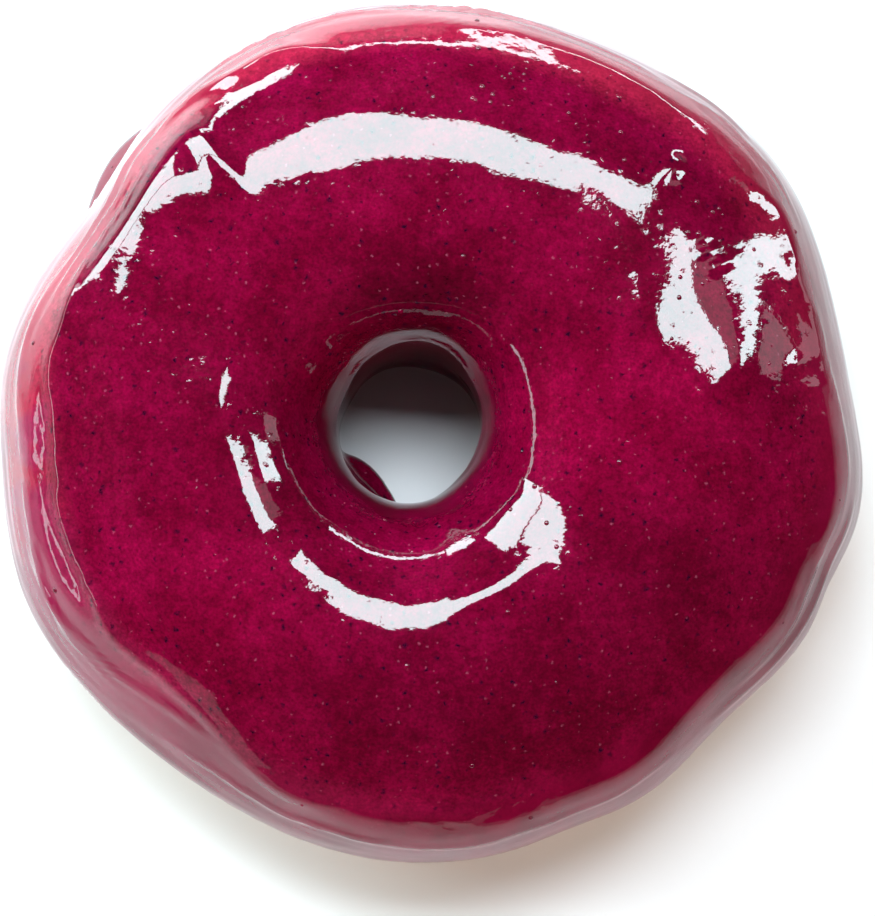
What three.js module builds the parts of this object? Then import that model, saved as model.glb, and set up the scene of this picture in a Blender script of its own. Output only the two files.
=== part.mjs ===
// A glazed brioche ring doughnut: a raised dough ring with a small off-centre hole, and a thick
// berry glaze that was poured over the top, ran down the outer side to just under its widest
// line, and ran down into the hole. Millimetres, +Z up, resting on the flat of its base.
// The ring runs round +Z. "turn" is the angle round the ring, from +X towards +Y. "lean" is the
// angle round the ring's own section: 0 at the outer side, 90 on the crown, 180 in the hole.

import * as THREE from "three";

// Driving dimensions of the dough
const outlineRadius = 47.5; // widest line of the bare ring
const holeRadius = 10.2; // waist of the bare hole
const holeCentre = new THREE.Vector2(-3.2, 0.5); // the hole sits off centre
const crownHeight = 32.6; // highest line of the bare ring
const outerWaistHeight = 16.0; // height of the widest line outside
const innerWaistHeight = 11.5; // height of the narrowest line in the hole
const baseSink = 2.6; // how far the round form would reach below its flat base
const crownShare = 0.43; // where the crown lies between the hole and the outline
const flank = { out: 5.5, high: 20.0, tall: 5.2 }; // swell of the outer side, all round
const side = { out: 2.8, slant: 1.8, widest: 10.0, shoulder: 0.6 }; // steep side that cuts it off
const fullness = { outerTop: 2.05, innerTop: 2.1, innerBase: 2.3, outerBase: 2.35 };

// Driving dimensions of the glaze
const glazeThickness = 1.3;
const glazeGap = 0.3; // clearance between the glaze and the dough
const beadThickness = 0.55; // extra where the glaze stopped running
const beadWidth = 2.2;
const edgeThickness = 0.2;
const outerDrop = 17; // lean below the outer waist, in degrees, where the glaze ends
const innerDrop = 24; // lean below the hole's waist where the glaze ends

// Swells and hollows: "at" and "wide" are degrees round the ring, the rest is in millimetres
const outlineSwells = [
  { at: 10, out: -1.5, wide: 18 },
  { at: 40, out: 1.0, wide: 14 },
  { at: 66, out: -0.2, wide: 12 },
  { at: 108, out: 1.2, wide: 19 },
  { at: 146, out: -1.8, wide: 12 },
  { at: 172, out: 1.0, wide: 11 },
  { at: 204, out: 1.7, wide: 17 },
  { at: 233, out: -0.3, wide: 10 },
  { at: 262, out: 0.4, wide: 16 },
  { at: 289, out: -1.1, wide: 9 },
  { at: 314, out: -2.4, wide: 14 },
  { at: 338, out: -0.8, wide: 6 },
  { at: 351, out: 0.7, wide: 9 },
];
const holeSwells = [
  { at: 60, out: 0.5, wide: 30 },
  { at: 150, out: -0.5, wide: 25 },
  { at: 270, out: 0.6, wide: 35 },
];
const crownSwells = [
  { at: 35, out: -0.2, wide: 24 },
  { at: 100, out: 0.4, wide: 30 },
  { at: 150, out: -0.5, wide: 20 },
  { at: 215, out: 0.5, wide: 30 },
  { at: 315, out: -0.4, wide: 26 },
];
const crownShifts = [
  { at: 90, out: -0.055, wide: 50 },
  { at: 106, out: -0.02, wide: 16 },
  { at: 138, out: 0.08, wide: 10 },
  { at: 200, out: -0.04, wide: 16 },
  { at: 230, out: 0.02, wide: 14 },
  { at: 262, out: 0.065, wide: 35 },
  { at: 320, out: 0.08, wide: 14 },
];
// Extra fullness of the top, in the hole and outside
const innerSwells = [
  { at: 10, out: 0.6, wide: 35 },
  { at: 90, out: 1.8, wide: 45 },
];
const outerSwells = [
  { at: 54, out: 0.12, wide: 15 },
  { at: 97, out: 0.35, wide: 28 },
  { at: 148, out: 1.7, wide: 20 },
];
// Extra slant of the steep side
const slantSwells = [
  { at: 228, out: 1.0, wide: 22 },
  { at: 275, out: -0.4, wide: 40 },
];
// Bulges of the side: "high" is the height of the middle, "tall" how far it fades up and down
const sideBulges = [
  { at: 140, out: 5.4, wide: 13, high: 7.8, tall: 3.6 },
  { at: 318, out: 1.7, wide: 16, high: 8.5, tall: 3.6 },
  { at: 282, out: 0.9, wide: 14, high: 8.0, tall: 3.6 },
];
const holeBulges = [
  { at: 226, out: 2.3, wide: 24, high: 5.0, tall: 3.0 },
  { at: 65, out: 1.3, wide: 34, high: 4.6, tall: 3.0 },
];
// Runs of glaze past its usual edge: "drop" is the extra lean in degrees
const outerRuns = [
  { at: 12, drop: 7, wide: 7 },
  { at: 52, drop: 4, wide: 9 },
  { at: 84, drop: 9, wide: 6 },
  { at: 112, drop: 3, wide: 8 },
  { at: 141, drop: 14, wide: 13 },
  { at: 178, drop: 6, wide: 7 },
  { at: 212, drop: 10, wide: 6 },
  { at: 247, drop: 4, wide: 9 },
  { at: 276, drop: 8, wide: 7 },
  { at: 318, drop: 9, wide: 12 },
  { at: 346, drop: 3, wide: 6 },
];
const innerRuns = [
  { at: 226, drop: 12, wide: 26 },
  { at: 65, drop: 8, wide: 30 },
];

// How finely the forms are faceted
const ringSteps = 90;
const outerFaceSteps = 26; // the glaze's outer face, from its outer edge to the one in the hole
const coveredSteps = 18; // the same stretch on the dough and on the glaze's inner face
const bareSteps = 9; // the dough left bare, round its base
const millimetresPerLean = 0.31; // length along the section for one degree of lean

const radians = THREE.MathUtils.degToRad;
const degrees = THREE.MathUtils.radToDeg;

// A smooth hump round the ring, 1 at its middle
function hump(turn, swell) {
  const away = ((((degrees(turn) - swell.at + 180) % 360) + 360) % 360) - 180;
  return Math.exp(-((away / swell.wide) ** 2));
}

function sumOf(swells, turn, key) {
  return swells.reduce((sum, swell) => sum + swell[key] * hump(turn, swell), 0);
}

// A power that keeps its sign, for the fuller-than-round section
function signedPower(value, power) {
  return Math.sign(value) * Math.abs(value) ** power;
}

// A point of the bare dough at a turn and a lean, both in radians
function doughPoint(turn, lean) {
  const direction = new THREE.Vector2(Math.cos(turn), Math.sin(turn));
  const outline = direction.clone().multiplyScalar(outlineRadius + sumOf(outlineSwells, turn, "out"));
  const hole = direction
    .clone()
    .multiplyScalar(holeRadius + sumOf(holeSwells, turn, "out"))
    .add(holeCentre);
  const across = outline.clone().sub(hole);
  const width = across.length();
  across.normalize();

  const outward = Math.cos(lean);
  const upward = Math.sin(lean);
  const share = crownShare + sumOf(crownShifts, turn, "out");
  const top = crownHeight + sumOf(crownSwells, turn, "out");
  const waist = THREE.MathUtils.lerp(innerWaistHeight, outerWaistHeight, (1 + outward) / 2);
  const innerTop = fullness.innerTop + sumOf(innerSwells, turn, "out");
  const outerTop = fullness.outerTop + sumOf(outerSwells, turn, "out");
  const topFullness = outward > 0 ? outerTop : innerTop;
  const baseFullness = outward > 0 ? fullness.outerBase : fullness.innerBase;
  const power = 2 / (upward > 0 ? topFullness : baseFullness);
  const half = outward > 0 ? width * (1 - share) : width * share;
  const rise = upward > 0 ? top - waist : waist + baseSink;
  let reach = width * share + half * signedPower(outward, power);
  const height = Math.max(0, waist + rise * signedPower(upward, power));

  if (outward > 0) {
    reach += flank.out * Math.exp(-(((height - flank.high) / flank.tall) ** 2)) * outward;
    const slant = side.slant + sumOf(slantSwells, turn, "out");
    const limit = width + side.out - slant * ((height - side.widest) / 10) ** 2;
    reach -= side.shoulder * Math.log1p(Math.exp((reach - limit) / side.shoulder));
  }
  for (const bulge of sideBulges) {
    const fade = Math.exp(-(((height - bulge.high) / bulge.tall) ** 2));
    if (outward > 0) reach += bulge.out * hump(turn, bulge) * fade * outward;
  }
  for (const bulge of holeBulges) {
    const fade = Math.exp(-(((height - bulge.high) / bulge.tall) ** 2));
    if (outward < 0) reach += bulge.out * hump(turn, bulge) * fade * outward;
  }
  return new THREE.Vector3(hole.x + across.x * reach, hole.y + across.y * reach, height);
}

// The dough's outward direction, from two short steps on its surface
function doughNormal(turn, lean) {
  const step = 1e-3;
  const alongTurn = doughPoint(turn + step, lean).sub(doughPoint(turn - step, lean));
  const alongLean = doughPoint(turn, lean + step).sub(doughPoint(turn, lean - step));
  return alongTurn.cross(alongLean).normalize();
}

// The leans at which the glaze ends, outside and in the hole
function glazeEdges(turn) {
  const first = -radians(outerDrop + sumOf(outerRuns, turn, "drop"));
  const last = Math.PI + radians(innerDrop + sumOf(innerRuns, turn, "drop"));
  return { first, last };
}

// Thickness of the glaze: even over the top, a bead at its two edges, and a thin rounded rim
function glazeDepth(turn, lean) {
  const { first, last } = glazeEdges(turn);
  const fromEdge = degrees(Math.min(lean - first, last - lean)) * millimetresPerLean;
  const bead = beadThickness * Math.exp(-(((fromEdge - beadWidth) / beadWidth) ** 2));
  const round = Math.sqrt(Math.max(0, 1 - Math.max(0, 1 - fromEdge / glazeThickness) ** 2));
  return edgeThickness + (glazeThickness - edgeThickness + bead) * round;
}

// The lean at a share of the way from the glaze's outer edge (0) to its edge in the hole (1)
function coveredLean(turn, share) {
  const { first, last } = glazeEdges(turn);
  const finerAtEdges = share - (0.7 * Math.sin(2 * Math.PI * share)) / (2 * Math.PI);
  return THREE.MathUtils.lerp(first, last, finerAtEdges);
}

// A point of the dough for a step round its section: first the covered part, then the bare base
function doughVertex(turn, step) {
  if (step <= coveredSteps) return doughPoint(turn, coveredLean(turn, step / coveredSteps));
  const { first, last } = glazeEdges(turn);
  const share = (step - coveredSteps) / bareSteps;
  return doughPoint(turn, THREE.MathUtils.lerp(last, first + 2 * Math.PI, share));
}

// A point of the glaze for a step round its section: its outer face, then back along the inner
function glazeVertex(turn, step) {
  const outside = step <= outerFaceSteps;
  const share = outside ? step / outerFaceSteps : 1 - (step - outerFaceSteps) / coveredSteps;
  const lean = coveredLean(turn, share);
  const lift = glazeGap + (outside ? glazeDepth(turn, lean) : 0);
  return doughPoint(turn, lean).addScaledVector(doughNormal(turn, lean), lift);
}

// A closed ring of cells between vertices placed by a rule, each cell cut along its shorter
// diagonal, so that two faces that follow each other keep their distance
function ringForm(sectionSteps, placeVertex) {
  const points = [];
  for (let i = 0; i < ringSteps; i++) {
    const turn = (2 * Math.PI * i) / ringSteps;
    for (let step = 0; step < sectionSteps; step++) points.push(placeVertex(turn, step));
  }
  const corner = (i, step) => (i % ringSteps) * sectionSteps + (step % sectionSteps);
  const indices = [];
  for (let i = 0; i < ringSteps; i++) {
    for (let step = 0; step < sectionSteps; step++) {
      const a = corner(i, step);
      const b = corner(i + 1, step);
      const c = corner(i + 1, step + 1);
      const d = corner(i, step + 1);
      const straight = points[a].distanceTo(points[c]) < points[b].distanceTo(points[d]);
      indices.push(...(straight ? [a, b, c, a, c, d] : [a, b, d, b, c, d]));
    }
  }
  const geometry = new THREE.BufferGeometry().setFromPoints(points);
  geometry.setIndex(indices);
  geometry.computeVertexNormals();
  return geometry;
}

function makeDough() {
  const crust = new THREE.MeshStandardMaterial({ color: 0xc98a45, roughness: 0.7, metalness: 0 });
  const mesh = new THREE.Mesh(ringForm(coveredSteps + bareSteps, doughVertex), crust);
  mesh.name = "dough";
  return mesh;
}

function makeGlaze() {
  const berry = new THREE.MeshStandardMaterial({ color: 0x8a0b3c, roughness: 0.12, metalness: 0 });
  const mesh = new THREE.Mesh(ringForm(outerFaceSteps + coveredSteps, glazeVertex), berry);
  mesh.name = "glaze";
  return mesh;
}

// The origin is the middle of the footprint, on the surface that the ring rests on
const doughnut = new THREE.Group();
doughnut.add(makeDough(), makeGlaze());
const box = new THREE.Box3().setFromObject(doughnut, true);
doughnut.position.set(-(box.min.x + box.max.x) / 2, -(box.min.y + box.max.y) / 2, -box.min.z);

export default doughnut;
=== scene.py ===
# A brioche ring doughnut under a thick berry glaze, seen from almost straight above.
import math

import bmesh
import bpy
import numpy as np
from mathutils import Matrix, Vector, noise


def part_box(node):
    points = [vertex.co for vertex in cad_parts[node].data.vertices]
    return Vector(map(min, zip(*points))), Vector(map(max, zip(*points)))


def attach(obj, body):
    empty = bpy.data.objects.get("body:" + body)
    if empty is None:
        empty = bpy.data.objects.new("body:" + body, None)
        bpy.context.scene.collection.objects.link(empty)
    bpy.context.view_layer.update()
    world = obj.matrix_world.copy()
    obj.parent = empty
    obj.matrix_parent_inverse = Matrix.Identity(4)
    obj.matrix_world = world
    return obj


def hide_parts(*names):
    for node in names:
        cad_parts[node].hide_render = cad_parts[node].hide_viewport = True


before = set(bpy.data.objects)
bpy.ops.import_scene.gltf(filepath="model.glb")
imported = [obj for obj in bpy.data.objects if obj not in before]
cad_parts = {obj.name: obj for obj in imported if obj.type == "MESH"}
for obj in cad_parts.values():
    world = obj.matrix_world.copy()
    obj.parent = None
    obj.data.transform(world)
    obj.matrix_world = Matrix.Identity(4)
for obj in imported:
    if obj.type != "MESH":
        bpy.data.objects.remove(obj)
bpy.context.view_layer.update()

print("frame loaded")

mm = 0.001

# The ring in millimetres, as the solids have it but for a sharper shoulder and a side 0.1 mm
# further in. A turn is an angle round the ring and a lean an angle round its section: 0 at the
# outer side, 90 on the crown, 180 in the hole.
ring = {
    "outline": 47.5,
    "hole": 10.2,
    "holeAt": (-3.2, 0.5),
    "crown": 32.6,
    "outerWaist": 16.0,
    "innerWaist": 11.5,
    "sink": 2.6,            # the round form would end this far below the flat base
    "crownShare": 0.43,     # where the crown lies from the hole to the outline
    "outerTop": 2.05,       # fullness of each quarter of the section, 2 is an ellipse
    "innerTop": 2.1,
    "innerBase": 2.3,
    "outerBase": 2.35,
    # swells round the ring: middle in degrees, size, width in degrees
    "outlineSwells": [
        (10, -1.5, 18), (40, 1.0, 14), (66, -0.2, 12), (108, 1.2, 19), (146, -1.8, 12),
        (172, 1.0, 11), (204, 1.7, 17), (233, -0.3, 10), (262, 0.4, 16), (289, -1.1, 9),
        (314, -2.4, 14), (338, -0.8, 6), (351, 0.7, 9),
    ],
    "holeSwells": [(60, 0.5, 30), (150, -0.5, 25), (270, 0.6, 35)],
    "crownSwells": [(35, -0.2, 24), (100, 0.4, 30), (150, -0.5, 20), (215, 0.5, 30), (315, -0.4, 26)],
    "crownShifts": [
        (90, -0.055, 50), (106, -0.02, 16), (138, 0.08, 10), (230, 0.02, 14), (262, 0.065, 35),
        (320, 0.08, 14), (200, -0.04, 16),
    ],
    "innerSwells": [(90, 1.8, 45), (10, 0.6, 35)],    # extra fullness of the top
    "outerSwells": [(148, 1.7, 20), (54, 0.12, 15), (97, 0.35, 28)],
    # the flank swells out and a steep side cuts it off, which leaves a shoulder round the top;
    # the side goes in by its slant at slantAt above or below its widest place
    "flank": {"size": 5.5, "high": 20.0, "tall": 5.2},
    "side": {"out": 2.7, "slant": 1.8, "slantAt": 10.0, "widest": 10.0, "shoulder": 0.35},
    "slantSwells": [(228, 1.0, 22), (275, -0.4, 40)],
    # bulges: middle in degrees, size, width in degrees, height of the middle, fade up and down
    "sideBulges": [(140, 5.4, 13, 7.8, 3.6), (318, 1.7, 16, 8.5, 3.6), (282, 0.9, 14, 8.0, 3.6)],
    "holeBulges": [(226, 2.3, 24, 5.0, 3.0), (65, 1.3, 34, 4.6, 3.0)],
    "steps": 660,
    "probe": 0.004,         # step in radians that finds which way the surface faces
}

glazeCoat = {
    "thickness": 1.3,
    "lift": 0.3,            # the solids' clearance, here filled with glaze
    "bite": 0.25,           # how far the underside sinks into the crust
    "bead": 0.55,
    "beadWidth": 2.2,
    "edge": 0.2,
    "outerDrop": 17,        # lean past the waist, in degrees, where the glaze ends
    "innerDrop": 24,
    "outerRuns": [
        (12, 7, 7), (52, 4, 9), (84, 9, 6), (112, 3, 8), (141, 14, 13), (178, 6, 7),
        (212, 10, 6), (247, 4, 9), (276, 8, 7), (318, 9, 12), (346, 3, 6),
    ],
    "innerRuns": [(226, 12, 26), (65, 8, 30)],
    "faceSteps": 132,
    "underSteps": 14,
    "crowding": 0.7,        # how far the steps gather toward both edges
    "waves": [(11.0, 0.06), (4.0, 0.035), (2.0, 0.012)],    # wavelength and height
    # humps seen from above: x, y, height, half length, half width, direction in degrees; they are
    # full where the sine of the lean is past humpsFrom
    "humpsFrom": 1 / 3,
    "humps": [
        (-24.6, 28.6, 0.6, 5.0, 1.4, -58),
        (27.2, 28.4, 0.5, 1.5, 1.5, 0),
        (-35.0, 26.9, 1.15, 7.5, 4.2, 60),
        (22.8, 9.4, 0.5, 6.5, 5.0, 108),
        (34.5, 4.0, 0.6, 6.0, 4.0, 90),
        (-11.4, 35.4, 0.2, 5.5, 3.0, 18),
        (32.6, 17.0, 0.22, 0.9, 0.6, 60),
        (30.3, 20.0, 0.15, 0.7, 0.7, 0),
        (30.9, 18.3, 0.15, 0.7, 0.5, 40),
        (10.0, -11.2, 0.75, 4.2, 4.2, 0),
        (1.7, -13.5, 0.5, 2.5, 1.5, 19),
        (-6.4, -14.0, 0.35, 3.5, 1.2, 348),
        (-26.5, 0.5, 0.35, 5.0, 5.0, 0),
        (41.3, 5.6, 0.3, 1.5, 0.9, 70),
        (42.4, 3.2, 0.22, 0.9, 0.8, 0),
        (40.6, -13.6, 0.25, 2.4, 0.7, -25),
    ],
    # painted light and shade, lighter where the glaze faces the light and darker where it is in shade, seen
    # from above: x, y, change, half length, half width, direction
    "paintedShades": [
        (-2, 13, -0.58, 10, 5, 0), (-2, -17.5, 0.25, 12, 4, 0), (13, -1, 0.4, 6, 9, 0),
        (26, -1, 0.35, 9, 9, 0), (0, -35, -0.22, 22, 8, 0), (26, -22, -0.26, 13, 9, 45),
        (0, 42, 0.15, 22, 6, 0), (-29, 0, -0.12, 8, 14, 0), (-25, -22, 0.2, 9, 7, -40),
    ],
    # folds: turn and lean at both ends, height, half width; the wander's wavelength and size
    "foldWander": (7.0, 1.2),
    "folds": [
        (156, 44, 220, 43, 0.35, 0.8), (156, 20, 188, 29, 0.3, 0.8), (183, 33, 222, 17, 0.4, 0.45),
        (196, 22, 236, 30, 0.35, 0.5), (228, 14, 268, 26, 0.35, 0.5), (252, 40, 300, 32, 0.25, 0.4),
        (318, 20, 352, 30, 0.3, 0.4), (28, 22, 60, 27, 0.3, 0.45), (180, 47, 256, 35, 0.3, 0.45),
        (346, 24, 416, 40, 0.36, 0.5), (126, 40, 162, 45, 0.22, 0.5), (124, 30, 166, 34, 0.25, 0.6),
        (76, 20, 100, 13, 0.3, 0.4), (96, 24, 124, 16, 0.3, 0.4), (70, 13, 94, 20, 0.25, 0.4),
        (130, 20, 164, 25, 0.25, 0.6), (74, 27, 110, 22, 0.25, 0.6), (66, 34, 97, 30, 0.22, 0.5),
        (54, 23, 92, 15, 0.25, 0.6), (34, 35, 72, 34, 0.3, 1.4), (42, 14, 58, 10, 0.3, 0.7),
        (338, 47, 366, 46, 0.25, 0.5), (312, 12, 350, 14, 0.45, 0.8), (234, 34, 294, 38, 0.3, 0.7),
        (250, 22, 306, 20, 0.35, 0.8), (278, 102, 312, 104, 0.3, 1.5), (104, 41, 134, 28, 0.7, 0.9),
        (190, 203, 266, 203, 1.6, 1.3), (10, 168, 100, 160, 0.35, 0.6), (80, 160, 190, 172, 0.3, 0.7),
        (290, 172, 380, 166, 0.3, 0.6),
    ],
    # wrinkles along the side: length and width of one, height, and where they are, in degrees
    "wrinkles": {
        "long": 13.0, "short": 1.3, "height": 0.09,
        "places": [(130, 1.0, 60), (215, 0.7, 40), (0, 0.4, 400)],
    },
    "wrinkleLeans": (52, 40),    # lean where they start and where they are full
    # painted light: a lighter, redder colour on the sides where the light falls, strongest at the upper
    # left: turn, strength, width in degrees
    "paintedLightSides": [(150, 0.7, 65), (60, 0.3, 40), (225, 0.2, 30), (120, 0.36, 105)],
    "paintedLightLeans": (47, 38),       # lean where the painted side light starts and where it is full
    "paintedLightLowEnd": (-14, 10),     # lean where the painted side light is at its least again and where that fading starts
    "paintedLightAtLeast": 0.3,
    "paintedLightPatches": (0.75, 9.0, 0.45),    # mean, size of a patch, change
    "smoothLeans": (42, 30),     # lean where specks start to fade and where they are faint
}

lengthPerLean = 0.31       # millimetres along the section for one degree of lean


def hump(turns, middle, wide):
    away = (np.degrees(turns) - middle + 180) % 360 - 180
    return np.exp(-(away / wide) ** 2)


def swell(turns, swells):
    return sum(size * hump(turns, middle, wide) for middle, size, wide in swells)


def signedPower(values, power):
    return np.sign(values) * np.abs(values) ** power


def ringPoints(turns, leans):
    direction = np.stack((np.cos(turns), np.sin(turns)), axis=-1)
    outline = direction * (ring["outline"] + swell(turns, ring["outlineSwells"]))[..., None]
    hole = direction * (ring["hole"] + swell(turns, ring["holeSwells"]))[..., None] + ring["holeAt"]
    across = outline - hole
    width = np.linalg.norm(across, axis=-1)
    across /= width[..., None]

    outward = np.cos(leans)
    upward = np.sin(leans)
    outer = outward > 0
    upper = upward > 0
    share = ring["crownShare"] + swell(turns, ring["crownShifts"])
    crown = ring["crown"] + swell(turns, ring["crownSwells"])
    outerShare = (1 + outward) / 2
    waist = ring["innerWaist"] + (ring["outerWaist"] - ring["innerWaist"]) * outerShare
    innerTop = ring["innerTop"] + swell(turns, ring["innerSwells"])
    outerTop = ring["outerTop"] + swell(turns, ring["outerSwells"])
    fullness = np.where(
        upper,
        np.where(outer, outerTop, innerTop),
        np.where(outer, ring["outerBase"], ring["innerBase"]),
    )
    halfWidth = width * np.where(outer, 1 - share, share)
    rise = np.where(upper, crown - waist, waist + ring["sink"])
    reach = width * share + halfWidth * signedPower(outward, 2 / fullness)
    height = np.maximum(0, waist + rise * signedPower(upward, 2 / fullness))
    flank, side = ring["flank"], ring["side"]
    nearFlank = np.exp(-((height - flank["high"]) / flank["tall"]) ** 2)
    reach = reach + outer * flank["size"] * nearFlank * outward
    slant = side["slant"] + swell(turns, ring["slantSwells"])
    limit = width + side["out"] - slant * ((height - side["widest"]) / side["slantAt"]) ** 2
    reach = reach - outer * side["shoulder"] * np.logaddexp(0, (reach - limit) / side["shoulder"])
    for onThisSide, bulges in ((outer, ring["sideBulges"]), (~outer, ring["holeBulges"])):
        for middle, size, wide, high, tall in bulges:
            nearBulge = np.exp(-((height - high) / tall) ** 2)
            reach = reach + onThisSide * size * hump(turns, middle, wide) * nearBulge * outward
    spots = hole + across * reach[..., None]
    return np.concatenate((spots, height[..., None]), axis=-1)


def ringNormals(turns, leans):
    step = ring["probe"]
    alongTurn = ringPoints(turns + step, leans) - ringPoints(turns - step, leans)
    alongLean = ringPoints(turns, leans + step) - ringPoints(turns, leans - step)
    normals = np.cross(alongTurn, alongLean)
    return normals / np.linalg.norm(normals, axis=-1, keepdims=True)


def coatEdges(turns):
    first = -np.radians(glazeCoat["outerDrop"] + swell(turns, glazeCoat["outerRuns"]))
    last = np.pi + np.radians(glazeCoat["innerDrop"] + swell(turns, glazeCoat["innerRuns"]))
    return first, last


def coatDepth(turns, leans):
    first, last = coatEdges(turns)
    fromEdge = np.degrees(np.minimum(leans - first, last - leans)) * lengthPerLean
    bead = glazeCoat["bead"] * np.exp(-((fromEdge - glazeCoat["beadWidth"]) / glazeCoat["beadWidth"]) ** 2)
    rounding = np.sqrt(1 - np.clip(1 - fromEdge / glazeCoat["thickness"], 0, 1) ** 2)
    return glazeCoat["edge"] + (glazeCoat["thickness"] - glazeCoat["edge"] + bead) * rounding


def waves(points, size, tall):
    flat = (points / size).reshape(-1, 3)
    return tall * np.array([noise.noise(spot) for spot in flat]).reshape(points.shape[:-1])


def humps(points, places):
    lift = np.zeros(points.shape[:-1])
    for x, y, size, long, short, direction in places:
        angle = math.radians(direction)
        east, north = points[..., 0] - x, points[..., 1] - y
        along = east * math.cos(angle) + north * math.sin(angle)
        across = north * math.cos(angle) - east * math.sin(angle)
        lift += size * np.exp(-(along / long) ** 2 - (across / short) ** 2)
    return lift


def folds(turns, leans, points, paths):
    lift = np.zeros(turns.shape)
    wander = waves(points, *glazeCoat["foldWander"])
    for turnFrom, leanFrom, turnTo, leanTo, size, wide in paths:
        share = ((np.degrees(turns) - turnFrom + 180) % 360 - 180) / (turnTo - turnFrom)
        across = (np.degrees(leans) - leanFrom - (leanTo - leanFrom) * share) * lengthPerLean + wander
        ends = np.sin(np.pi * np.clip(share, 0, 1)) ** 0.7    # it runs out at both ends
        lift += size * ends * np.exp(-(across / wide) ** 2)
    return lift


def ramp(leans, start, full):
    # 0 at one lean and 1 at another, in degrees
    return np.clip((np.degrees(leans) - start) / (full - start), 0, 1)


def wrinkles(turns, leans, values):
    along = ring["outline"] / values["long"]
    across = np.degrees(leans) * lengthPerLean / values["short"]
    points = np.stack((along * np.cos(turns), along * np.sin(turns), across), axis=-1)
    outerSide = ramp(leans, *glazeCoat["wrinkleLeans"])
    return waves(points, 1, values["height"]) * swell(turns, values["places"]) * outerSide


def ringGrid(sectionSteps):
    turn = np.arange(ring["steps"] + 1) * 2 * np.pi / ring["steps"]
    return np.meshgrid(turn, np.arange(sectionSteps + 1), indexing="ij")


def smoothFaces(bm):
    for face in bm.faces:
        face.smooth = True


def sweptRing(points, values):
    # a grid's vertices follow each other along its rows, and its last row and column meet the first
    bm = bmesh.new()
    bmesh.ops.create_grid(bm, x_segments=points.shape[1] - 1, y_segments=points.shape[0] - 1, size=1)
    for vert, point in zip(bm.verts, points.reshape(-1, 3)):
        vert.co = point
    for name, numbers in values.items():
        layer = bm.verts.layers.float.new(name)
        for vert, number in zip(bm.verts, numbers.reshape(-1)):
            vert[layer] = number
    bmesh.ops.remove_doubles(bm, verts=bm.verts, dist=1e-7)
    bmesh.ops.recalc_face_normals(bm, faces=bm.faces)
    smoothFaces(bm)
    return bm


def makePiece(name, bm, material, node):
    mesh = bpy.data.meshes.new(name)
    bm.to_mesh(mesh)
    bm.free()
    mesh.materials.append(material)
    piece = bpy.data.objects.new(name, mesh)
    bpy.context.scene.collection.objects.link(piece)
    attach(piece, "root")
    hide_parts(node)


def newMaterial(name, **values):
    material = bpy.data.materials.new(name)
    material.use_nodes = True
    shader = material.node_tree.nodes["Principled BSDF"]
    for socket, value in values.items():
        shader.inputs[socket.replace("_", " ")].default_value = value
    return material, material.node_tree, shader


def plug(tree, value, socket):
    if isinstance(value, bpy.types.NodeSocket):
        tree.links.new(value, socket)
    else:
        socket.default_value = value


def maths(tree, operation, *values):
    node = tree.nodes.new("ShaderNodeMath")
    node.operation = operation
    for socket, value in zip(node.inputs, values):
        plug(tree, value, socket)
    return node.outputs[0]


def fade(tree, value, start, end, atStart=0.0, atEnd=1.0):
    node = tree.nodes.new("ShaderNodeMapRange")
    node.interpolation_type = "SMOOTHSTEP"
    plug(tree, value, node.inputs["Value"])
    plug(tree, start, node.inputs["From Min"])
    plug(tree, end, node.inputs["From Max"])
    plug(tree, atStart, node.inputs["To Min"])
    plug(tree, atEnd, node.inputs["To Max"])
    return node.outputs["Result"]


def blend(tree, factor, first, second, blendType="MIX"):
    node = tree.nodes.new("ShaderNodeMix")
    node.data_type = "RGBA"
    node.blend_type = blendType
    colors = [socket for socket in node.inputs if socket.type == "RGBA"]
    plug(tree, factor, node.inputs[0])
    plug(tree, first, colors[0])
    plug(tree, second, colors[1])
    return next(socket for socket in node.outputs if socket.type == "RGBA")


def noiseOf(tree, place, size, detail=2.0):
    node = tree.nodes.new("ShaderNodeTexNoise")
    node.inputs["Scale"].default_value = 1 / size
    node.inputs["Detail"].default_value = detail
    tree.links.new(place, node.inputs["Vector"])
    return node.outputs["Fac"]


grainBend = 1.8            # how far a grain's outline is bent, in its own sizes


def specksOf(tree, place, spacing, smallest, largest, edge):
    # uneven grains of mixed size, one to a cell of a Voronoi pattern that a noise bends
    bend = tree.nodes.new("ShaderNodeTexNoise")
    bend.inputs["Scale"].default_value = 1 / largest
    tree.links.new(place, bend.inputs["Vector"])
    bent = tree.nodes.new("ShaderNodeVectorMath")
    bent.operation = "MULTIPLY_ADD"
    tree.links.new(bend.outputs["Color"], bent.inputs[0])
    bent.inputs[1].default_value = [grainBend * largest] * 3
    tree.links.new(place, bent.inputs[2])
    node = tree.nodes.new("ShaderNodeTexVoronoi")
    node.inputs["Scale"].default_value = 1 / spacing
    tree.links.new(bent.outputs[0], node.inputs["Vector"])
    chance = tree.nodes.new("ShaderNodeSeparateColor")
    tree.links.new(node.outputs["Color"], chance.inputs[0])
    size = fade(tree, chance.outputs[0], 0.0, 1.0, smallest / spacing, largest / spacing)
    softer = maths(tree, "MULTIPLY", size, edge)
    return fade(tree, node.outputs["Distance"], softer, size, 1.0, 0.0)


def readValue(tree, name):
    node = tree.nodes.new("ShaderNodeAttribute")
    node.attribute_name = name
    return node.outputs["Fac"]


def newGroup(name, outputs):
    group = bpy.data.node_groups.new(name, "ShaderNodeTree")
    for output, kind in outputs.items():
        group.interface.new_socket(name=output, in_out="OUTPUT", socket_type="NodeSocket" + kind)
    end = group.nodes.new("NodeGroupOutput")
    place = group.nodes.new("ShaderNodeTexCoord").outputs["Object"]
    return group, place, end


def useGroup(tree, group):
    node = tree.nodes.new("ShaderNodeGroup")
    node.node_tree = group
    return node


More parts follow.
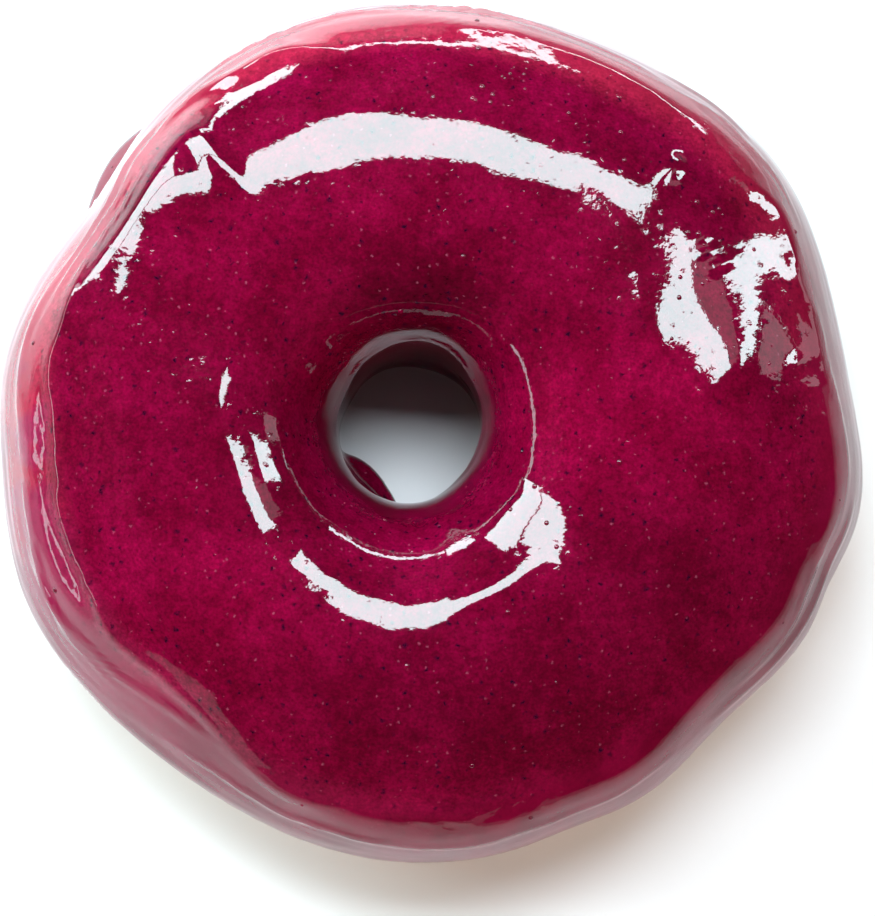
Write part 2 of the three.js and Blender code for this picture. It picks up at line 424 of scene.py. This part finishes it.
def addBump(tree, shader, height, distance):
    bump = tree.nodes.new("ShaderNodeBump")
    bump.inputs["Distance"].default_value = distance
    tree.links.new(height, bump.inputs["Height"])
    tree.links.new(bump.outputs[0], shader.inputs["Normal"])


# Crust
crustSkin = {
    "coveredSteps": 40,
    "bareSteps": 96,
    "relief": [(7.0, 0.35), (2.6, 0.16), (1.1, 0.07)],    # wavelength and height
    "blisterSize": 3.4,
    "blisterFrom": 0.25,
    "blisterHeight": 0.9,
    "reliefFade": 0.25,         # share of the bare part over which the relief sets in
    "reliefFoot": 2.0,          # height over which it sets in above the flat base
    "pale": (0.62, 0.38, 0.15, 1),
    "golden": (0.40, 0.155, 0.036, 1),
    "brown": (0.20, 0.062, 0.014, 1),
    "dark": (0.085, 0.026, 0.009, 1),
    "goldenHeights": (0.5, 6.5),     # where brown turns golden
    "paleHeights": (7.0, 10.5),      # where golden turns pale, under the glaze's edge
    "spots": 0.55,                   # strength of the browned spots and the dark flecks
    "flecks": 0.5,
    "roughness": (0.62, 0.42),       # of clean and of browned skin
}
turns, step = ringGrid(crustSkin["coveredSteps"] + crustSkin["bareSteps"])
first, last = coatEdges(turns)
coveredShare = np.minimum(1, step / crustSkin["coveredSteps"])
bareShare = np.maximum(0, step - crustSkin["coveredSteps"]) / crustSkin["bareSteps"]
leans = first + (last - first) * coveredShare + (first + 2 * np.pi - last) * bareShare
crustPoints = ringPoints(turns, leans)

low, high = crustPoints.min(axis=(0, 1)), crustPoints.max(axis=(0, 1))
boxMiddle = (Vector(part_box("dough")[0]) + Vector(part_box("dough")[1])) / 2 / mm
shift = np.array([boxMiddle.x, boxMiddle.y, 0]) - (low + high) / 2 * (1, 1, 0)
print("ring centre moved by", shift.round(2))

# small dents, blisters and wrinkles of the fried skin, on the bare part only
bare = np.clip(bareShare / crustSkin["reliefFade"], 0, 1)
bare = bare * np.clip((1 - bareShare) / crustSkin["reliefFade"], 0, 1)
bare = bare * np.clip(crustPoints[..., 2] / crustSkin["reliefFoot"], 0, 1)
relief = sum(waves(crustPoints, size, tall) for size, tall in crustSkin["relief"])
blister = np.clip(waves(crustPoints, crustSkin["blisterSize"], 1.0) - crustSkin["blisterFrom"], 0, 1)
relief = relief + crustSkin["blisterHeight"] * blister
crustPoints = crustPoints + ringNormals(turns, leans) * (bare * relief)[..., None]

crustColor, place, end = newGroup("crustColor", {"Color": "Color", "Roughness": "Float"})
split = crustColor.nodes.new("ShaderNodeSeparateXYZ")
crustColor.links.new(place, split.inputs[0])
wander = fade(crustColor, noiseOf(crustColor, place, 9 * mm, 3.0), 0.25, 0.75, -1.6 * mm, 1.6 * mm)
above = maths(crustColor, "ADD", split.outputs["Z"], wander)
lowest, highest = (height * mm for height in crustSkin["goldenHeights"])
color = blend(crustColor, fade(crustColor, above, lowest, highest), crustSkin["brown"], crustSkin["golden"])
lowest, highest = (height * mm for height in crustSkin["paleHeights"])
color = blend(crustColor, fade(crustColor, above, lowest, highest), color, crustSkin["pale"])
spots = fade(crustColor, noiseOf(crustColor, place, 2.6 * mm, 4.0), 0.48, 0.72)
browned = maths(crustColor, "MULTIPLY", spots, crustSkin["spots"])
color = blend(crustColor, browned, color, crustSkin["brown"])
flecks = specksOf(crustColor, place, 2.2 * mm, 0.05 * mm, 0.5 * mm, 0.3)
flecks = maths(crustColor, "MULTIPLY", flecks, crustSkin["flecks"])
color = blend(crustColor, flecks, color, crustSkin["dark"])
crustColor.links.new(color, end.inputs["Color"])
rough = fade(crustColor, spots, 0.0, 1.0, *crustSkin["roughness"])
crustColor.links.new(rough, end.inputs["Roughness"])

crustRelief, place, end = newGroup("crustRelief", {"Height": "Float"})
pores = maths(crustRelief, "MULTIPLY", noiseOf(crustRelief, place, 0.7 * mm, 4.0), 0.16)
dents = specksOf(crustRelief, place, 1.6 * mm, 0.1 * mm, 0.5 * mm, 0.2)
dents = maths(crustRelief, "MULTIPLY", dents, -0.10)
crustRelief.links.new(maths(crustRelief, "ADD", pores, dents), end.inputs["Height"])

crustMaterial, crustTree, crustShader = newMaterial("friedCrust")
crustUse = useGroup(crustTree, crustColor)
crustTree.links.new(crustUse.outputs["Color"], crustShader.inputs["Base Color"])
crustTree.links.new(crustUse.outputs["Roughness"], crustShader.inputs["Roughness"])
addBump(crustTree, crustShader, useGroup(crustTree, crustRelief).outputs[0], mm)
makePiece("doughRing", sweptRing((crustPoints + shift) * mm, {}), crustMaterial, "dough")
print("crust made")

# Glaze
turns, step = ringGrid(glazeCoat["faceSteps"] + glazeCoat["underSteps"])
first, last = coatEdges(turns)
faceSteps = glazeCoat["faceSteps"]
outside = step <= faceSteps
share = np.where(outside, step / faceSteps, 1 - (step - faceSteps) / glazeCoat["underSteps"])
share = share - glazeCoat["crowding"] * np.sin(2 * np.pi * share) / (2 * np.pi)
leans = first + (last - first) * share
basePoints = ringPoints(turns, leans)
normals = ringNormals(turns, leans)
depth = coatDepth(turns, leans)
lift = glazeCoat["lift"] + depth
for size, tall in glazeCoat["waves"]:
    lift = lift + waves(basePoints, size, tall) * np.minimum(1, depth)
onTop = np.clip(np.sin(leans) / glazeCoat["humpsFrom"], 0, 1)
lift = lift + onTop * humps(basePoints, glazeCoat["humps"])
lift = lift + folds(turns, leans, basePoints, glazeCoat["folds"])
lift = lift + wrinkles(turns, leans, glazeCoat["wrinkles"])
lift = np.where(outside, lift, -glazeCoat["bite"])
glazePoints = basePoints + normals * lift[..., None]

berry = {
    "deep": (0.092, 0.0003, 0.011, 1),
    "bright": (0.142, 0.0008, 0.020, 1),
    # painted light: the colours of the lit sides, lighter and redder on the far sides
    "paintedLightFar": (0.34, 0.014, 0.040, 1),
    "paintedLightNear": (0.26, 0.016, 0.060, 1),
    "darkSpeck": (0.012, 0.001, 0.010, 1),
    "paleSpeck": (0.42, 0.10, 0.17, 1),
    "blotch": 7 * mm,
    "grains": [(1.1 * mm, 1.2), (0.36 * mm, 1.4)],    # size and strength
    "calmest": 0.15,         # what is left of grains and specks on the smooth sides
    "paleStrength": 0.34,
    "darkStrength": 0.85,
    # the near sides' colour changes to the far sides' between these places, moved by a noise
    "farFrom": -12 * mm,
    "farTo": 4 * mm,
    "farWander": 14 * mm,
    "roughness": 0.035,
}
# the glaze colour, with painted light and shade and a painted lit side colour in it
berryColorAndPaintedLight, place, end = newGroup("berryColorAndPaintedLight", {"Color": "Color"})
blotches = fade(berryColorAndPaintedLight, noiseOf(berryColorAndPaintedLight, place, berry["blotch"]), 0.3, 0.7)
body = blend(berryColorAndPaintedLight, blotches, berry["deep"], berry["bright"])
split = berryColorAndPaintedLight.nodes.new("ShaderNodeSeparateXYZ")
berryColorAndPaintedLight.links.new(place, split.inputs[0])
cloud = noiseOf(berryColorAndPaintedLight, place, 8 * mm, 3.0)
wander = fade(berryColorAndPaintedLight, cloud, 0.3, 0.7, -berry["farWander"], berry["farWander"])
moved = maths(berryColorAndPaintedLight, "ADD", split.outputs["Y"], wander)
far = fade(berryColorAndPaintedLight, moved, berry["farFrom"], berry["farTo"])
# painted light on the sides: lighter and redder on the far sides, which face the light, laid on where the
# attribute says
paintedLightGlaze = blend(berryColorAndPaintedLight, far, berry["paintedLightNear"], berry["paintedLightFar"])
body = blend(berryColorAndPaintedLight, readValue(berryColorAndPaintedLight, "paintedLightness"), body, paintedLightGlaze)
calm = fade(berryColorAndPaintedLight, readValue(berryColorAndPaintedLight, "smooth"), 0.0, 1.0, 1.0, berry["calmest"])
# start from the painted light and shade, which the random grains then vary
shadeAndGrain = readValue(berryColorAndPaintedLight, "paintedShade")
for size, strength in berry["grains"]:
    uneven = maths(berryColorAndPaintedLight, "SUBTRACT", noiseOf(berryColorAndPaintedLight, place, size, 3.0), 0.5)
    uneven = maths(berryColorAndPaintedLight, "MULTIPLY", uneven, calm)
    uneven = maths(berryColorAndPaintedLight, "MULTIPLY_ADD", uneven, strength, 1.0)
    shadeAndGrain = maths(berryColorAndPaintedLight, "MULTIPLY", shadeAndGrain, uneven)
gray = berryColorAndPaintedLight.nodes.new("ShaderNodeCombineColor")
for socket in gray.inputs[:3]:
    berryColorAndPaintedLight.links.new(shadeAndGrain, socket)
body = blend(berryColorAndPaintedLight, 1.0, body, gray.outputs[0], "MULTIPLY")
pale = specksOf(berryColorAndPaintedLight, place, 1.1 * mm, 0.02 * mm, 0.26 * mm, 0.0)
pale = maths(berryColorAndPaintedLight, "MULTIPLY", pale, maths(berryColorAndPaintedLight, "MULTIPLY", calm, berry["paleStrength"]))
body = blend(berryColorAndPaintedLight, pale, body, berry["paleSpeck"])
dark = specksOf(berryColorAndPaintedLight, place, 1.25 * mm, 0.0, 0.46 * mm, 0.15)
dark = maths(berryColorAndPaintedLight, "MULTIPLY", dark, maths(berryColorAndPaintedLight, "MULTIPLY", calm, berry["darkStrength"]))
body = blend(berryColorAndPaintedLight, dark, body, berry["darkSpeck"])
berryColorAndPaintedLight.links.new(body, end.inputs["Color"])

berryRelief, place, end = newGroup("berryRelief", {"Height": "Float"})
height = maths(berryRelief, "MULTIPLY", noiseOf(berryRelief, place, 1.3 * mm, 1.0), 0.012)
finer = maths(berryRelief, "MULTIPLY", noiseOf(berryRelief, place, 0.5 * mm, 1.0), 0.005)
pimples = specksOf(berryRelief, place, 1.5 * mm, 0.02 * mm, 0.5 * mm, 0.0)
pimples = maths(berryRelief, "MULTIPLY", pimples, 0.012)
height = maths(berryRelief, "ADD", height, finer)
height = maths(berryRelief, "ADD", height, pimples)
berryRelief.links.new(height, end.inputs["Height"])

glazeMaterial, glazeTree, glazeShader = newMaterial("berryGlaze", Roughness=berry["roughness"], IOR=1.5)
glazeTree.links.new(useGroup(glazeTree, berryColorAndPaintedLight).outputs[0], glazeShader.inputs["Base Color"])
addBump(glazeTree, glazeShader, useGroup(glazeTree, berryRelief).outputs[0], mm)

# painted light: how strongly the sides take the lit colour, most toward the upper left
onSide = ramp(leans, *glazeCoat["paintedLightLeans"])
onSide = onSide * np.maximum(glazeCoat["paintedLightAtLeast"], ramp(leans, *glazeCoat["paintedLightLowEnd"]))
usual, patchSize, change = glazeCoat["paintedLightPatches"]
patchy = usual + waves(basePoints, patchSize, change)
paintedLight = np.clip(onSide * swell(turns, glazeCoat["paintedLightSides"]) * patchy, 0, 1)
smooth = ramp(leans, *glazeCoat["smoothLeans"])
# painted light and shade: lighter where the glaze faces the light, darker where it is in shade
paintedShade = 1 + humps(basePoints, glazeCoat["paintedShades"])
bm = sweptRing((glazePoints + shift) * mm, {"paintedLightness": paintedLight, "smooth": smooth, "paintedShade": paintedShade})
makePiece("berryGlazeCoat", bm, glazeMaterial, "glaze")
print("glaze made")

# Bubbles, low domes at the surface, some in groups
bubbles = {
    "groups": [    # x, y, spread and number
        (9.0, 38.0, 1.6, 9), (2.5, 37.0, 1.2, 4), (-22.5, 35.0, 1.4, 4), (17.5, 31.5, 1.6, 6),
        (32.0, 20.0, 2.6, 12), (28.0, 14.5, 1.6, 5), (12.0, -12.5, 3.0, 5), (0, 0, 30.0, 26),
    ],
    "smallest": 0.12,
    "largest": 0.34,
    "flatness": 0.6,
    "facing": 0.55,        # least upward part of the surface's direction under a bubble
    "seed": 8,
}
random = np.random.default_rng(bubbles["seed"])
upward = outside & (normals[..., 2] > bubbles["facing"])
seats, facings = glazePoints[upward], normals[upward]
bm = bmesh.new()
for x, y, spread, number in bubbles["groups"]:
    for east, north in random.normal((x, y), spread, (number, 2)):
        nearest = np.argmin((seats[:, 0] - east) ** 2 + (seats[:, 1] - north) ** 2)
        radius = random.uniform(bubbles["smallest"], bubbles["largest"])
        turned = Vector(facings[nearest]).to_track_quat("Z", "Y").to_matrix().to_4x4()
        flat = Matrix.Diagonal((1, 1, bubbles["flatness"], 1))
        place = Matrix.Translation(Vector(seats[nearest] + shift) * mm) @ turned @ flat
        bmesh.ops.create_icosphere(bm, subdivisions=3, radius=radius * mm, matrix=place)
smoothFaces(bm)
# the bubbles get no painted light or shade
layer = bm.verts.layers.float.new("paintedShade")
for vert in bm.verts:
    vert[layer] = 1
makePiece("glazeBubbles", bm, glazeMaterial, "glaze")
print("bubbles made")

# Studio
floorHalfWidth = 4         # metres
floorMaterial = newMaterial("paleFloor", Base_Color=(0.78, 0.78, 0.78, 1), Roughness=0.6)[0]
floorMesh = bmesh.new()
bmesh.ops.create_grid(floorMesh, x_segments=1, y_segments=1, size=floorHalfWidth)
mesh = bpy.data.meshes.new("floor")
floorMesh.to_mesh(mesh)
floorMesh.free()
mesh.materials.append(floorMaterial)
floor = bpy.data.objects.new("floor", mesh)
bpy.context.scene.collection.objects.link(floor)


def areaLight(name, at, facing, width, height, radiance, color):
    light = bpy.data.lights.new(name, "AREA")
    light.shape = "RECTANGLE"
    light.size = width
    light.size_y = height
    light.energy = radiance * math.pi * width * height
    light.color = color
    lamp = bpy.data.objects.new(name, light)
    lamp.location = at
    lamp.rotation_euler = facing.to_track_quat("-Z", "Y").to_euler()
    lamp.visible_camera = False
    bpy.context.scene.collection.objects.link(lamp)
    return lamp


def windowLight(name, right, left, bottom, top, radiance, color):
    # an upright window between two places on the floor, seen in the gloss alone
    across = Vector(left) - Vector(right)
    middle = ((Vector(left) + Vector(right)) / 2).to_3d()
    middle.z = (top + bottom) / 2
    facing = Vector((-across.y, across.x, 0))
    lamp = areaLight(name, middle, facing, across.length, top - bottom, radiance, color)
    lamp.visible_diffuse = False


def softLight(name, azimuth, elevation, distance, width, height, radiance, color):
    # a soft light turned to the doughnut, which the gloss doesn't show
    turn, climb = math.radians(azimuth), math.radians(elevation)
    level = Vector((math.cos(turn), math.sin(turn), 0)) * math.cos(climb)
    at = (level + Vector((0, 0, math.sin(climb)))) * distance
    lamp = areaLight(name, at, -at, width, height, radiance, color)
    lamp.visible_glossy = False


# windows: right and left end on the floor, bottom, top, radiance and colour, in metres
daylight = (0.74, 0.97, 1.0)
haze = (1.0, 0.85, 0.92)
windowLight("mainWindow", (0.6, 1.0), (-1.6, 1.0), 1.3, 2.55, 20, daylight)
windowLight("lowPane", (0.87, 1.0), (0.6, 1.0), 1.3, 2.05, 20, daylight)
windowLight("sideWindow", (1.2, 0.54), (1.2, 0.645), 0.46, 0.98, 20, daylight)
windowLight("sidePane", (1.2, 0.66), (1.2, 1.02), 1.56, 2.8, 20, daylight)
windowLight("leftPane", (-0.62, 1.0), (-1.9, 1.0), 0.42, 1.24, 20, daylight)
windowLight("farStrip", (0.75, 1.0), (-0.35, 1.0), 0.19, 0.235, 18, daylight)
windowLight("cornerPane", (-0.37, 1.0), (-0.50, 1.0), 0.2, 0.31, 20, daylight)
windowLight("leftStrip", (-1.0, 0.6), (-1.0, -0.5), 0.2, 0.26, 6.5, daylight)
windowLight("hazyPane", (1.2, 0.655), (1.2, 0.9), 1.0, 1.56, 1.3, haze)
windowLight("veilPane", (1.2, 0.36), (1.2, 0.52), 0.12, 0.45, 2.2, haze)

# the brighter floor behind the doughnut, seen in the gloss alone
upwards = Vector((0, 0, 1))
sunnyFloor = areaLight("sunnyFloor", (-0.39, 0.34, 0.001), upwards, 1.02, 0.53, 1.4, (1.0, 0.98, 1.0))
sunnyFloor.visible_diffuse = False

# soft lights: azimuth, elevation, distance, width, height, radiance and colour
softLight("skyBeam", 86, 69.5, 2.0, 1.4, 0.6, 16.2, (0.82, 0.92, 1.0))
softLight("frontSky", -80, 32, 1.5, 2.0, 0.7, 5.5, (1.0, 0.84, 0.72))
softLight("leftGlow", 165, 38, 0.26, 0.16, 0.12, 11, daylight)
softLight("topGlow", 100, 35, 0.26, 0.16, 0.1, 12, daylight)

# the room is dim, but for a pale band just above the floor that is brighter at the far left
air = {
    "color": (0.97, 0.96, 1.0, 1),
    "bandTop": (0.08, 0.105),    # upward part of the direction where the band ends
    "nearRight": 0.4,
    "farLeft": 0.8,
    "room": 0.02,
}
world = bpy.data.worlds.new("studioAir")
bpy.context.scene.world = world
world.use_nodes = True
worldTree = world.node_tree
direction = worldTree.nodes.new("ShaderNodeTexCoord").outputs["Generated"]
split = worldTree.nodes.new("ShaderNodeSeparateXYZ")
worldTree.links.new(direction, split.inputs[0])
band = fade(worldTree, split.outputs["Z"], *air["bandTop"], 1.0, 0.0)
farther = maths(worldTree, "MULTIPLY", split.outputs["Y"], 0.5)
toward = maths(worldTree, "SUBTRACT", farther, split.outputs["X"])
lit = fade(worldTree, toward, -0.7, 0.9, air["nearRight"], air["farLeft"])
glow = maths(worldTree, "ADD", maths(worldTree, "MULTIPLY", band, lit), air["room"])
worldTree.links.new(glow, worldTree.nodes["Background"].inputs["Strength"])
worldTree.nodes["Background"].inputs["Color"].default_value = air["color"]

# the camera in millimetres: frameWidth is what the picture takes in at the aim
cameraSet = {
    "distance": 500,
    "elevation": 83,
    "frameWidth": 104.2,
    "aim": (0.69, -3.7, 16.5),
    "film": 36,
}
camera = bpy.data.objects.new("camera", bpy.data.cameras.new("camera"))
bpy.context.scene.collection.objects.link(camera)
tilt = math.radians(cameraSet["elevation"])
away = Vector((0, -math.cos(tilt), math.sin(tilt)))
camera.location = (Vector(cameraSet["aim"]) + away * cameraSet["distance"]) * mm
camera.rotation_euler = (-away).to_track_quat("-Z", "Y").to_euler()
camera.data.sensor_fit = "HORIZONTAL"
camera.data.sensor_width = cameraSet["film"]
camera.data.lens = cameraSet["film"] * cameraSet["distance"] / cameraSet["frameWidth"]
camera.data.clip_start = 0.01
bpy.context.scene.camera = camera
bpy.context.scene.view_settings.view_transform = "Standard"
print("studio set")
